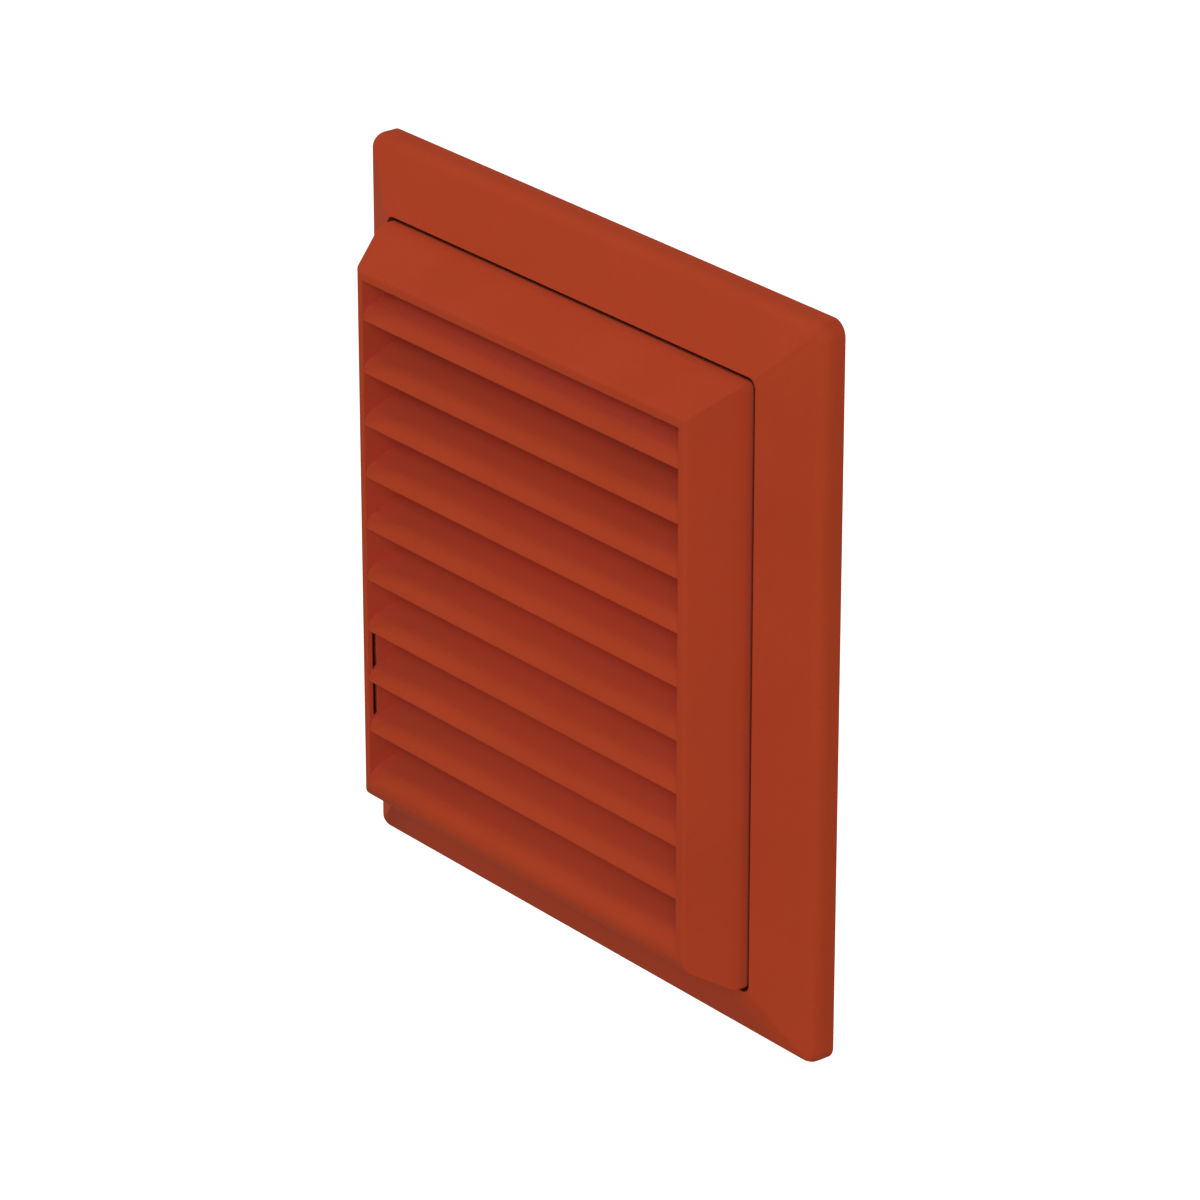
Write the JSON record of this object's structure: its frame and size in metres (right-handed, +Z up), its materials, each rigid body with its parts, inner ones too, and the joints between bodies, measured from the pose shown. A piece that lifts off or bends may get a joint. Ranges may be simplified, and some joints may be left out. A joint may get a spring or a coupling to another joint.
{
  "type": "louvred ducting grille",
  "caption": "Square moulded plastic ventilation grille: bevelled frame with a round duct spigot behind and a raised clip-in cassette of fixed sloping louvres.",
  "frame": {"origin": "on the wall face, at the axis of the duct spigot", "axes": "+Y into the wall along the spigot, -Y out through the louvres, +Z up, +X to the right of someone looking at the louvres from outside"},
  "size_m": [0.14, 0.038, 0.155],
  "materials": {
    "wall_frame": "moulded terracotta plastic, fine satin texture",
    "louvre_cassette": "moulded terracotta plastic, fine satin texture"
  },
  "bodies": {
    "root": {"wall_frame": "wall_frame", "louvre_cassette": "louvre_cassette"}
  },
  "joints": []
}
